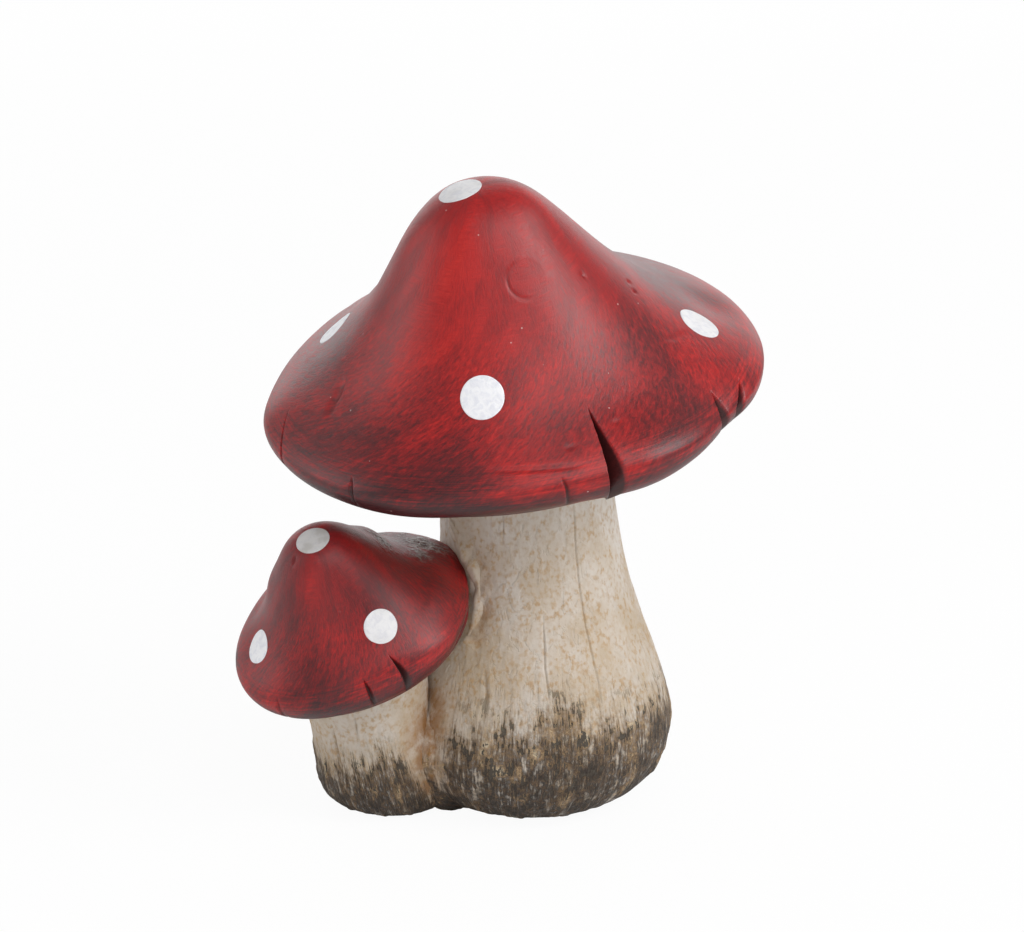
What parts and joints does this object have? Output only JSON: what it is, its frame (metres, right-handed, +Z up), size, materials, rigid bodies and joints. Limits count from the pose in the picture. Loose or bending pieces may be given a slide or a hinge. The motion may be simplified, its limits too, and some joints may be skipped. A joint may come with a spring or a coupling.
{
  "type": "ceramic mushroom ornament",
  "caption": "Free-standing ceramic ornament: a large bell-capped mushroom with a small one leaning on its stem, red caps with white inlaid spots and cream stems.",
  "frame": {"origin": "middle of the ornament's outline seen from above, on the surface that it stands on", "axes": "+Z up, front of the ornament towards -Y, small mushroom towards -X"},
  "size_m": [0.121, 0.1092, 0.1482],
  "materials": {
    "cap_red": "deep red satin paint with brush strokes and a dark maroon wash",
    "stem_cream": "matt cream bisque with ochre stains, dry-brushed dark brown at the foot",
    "slip_cream": "matt lumpy slip with ochre in the hollows",
    "spot_white": "white paint with a faint pearl mottling"
  },
  "bodies": {
    "root": {"large_stem": "stem_cream", "large_cap": "cap_red", "small_stem": "stem_cream", "small_cap": "cap_red", "large_neck_lute": "slip_cream", "small_neck_lute": "slip_cream", "front_stem_lute": "slip_cream", "back_stem_lute": "slip_cream", "cap_lute": "slip_cream", "large_cap_spot_top": "spot_white", "large_cap_spot_front": "spot_white", "large_cap_spot_right": "spot_white", "large_cap_spot_left": "spot_white", "large_cap_spot_back_right": "spot_white", "large_cap_spot_back": "spot_white", "large_cap_spot_back_left": "spot_white", "small_cap_spot_top": "spot_white", "small_cap_spot_front": "spot_white", "small_cap_spot_left": "spot_white", "small_cap_spot_edge": "spot_white", "small_cap_spot_back": "spot_white"}
  },
  "joints": []
}
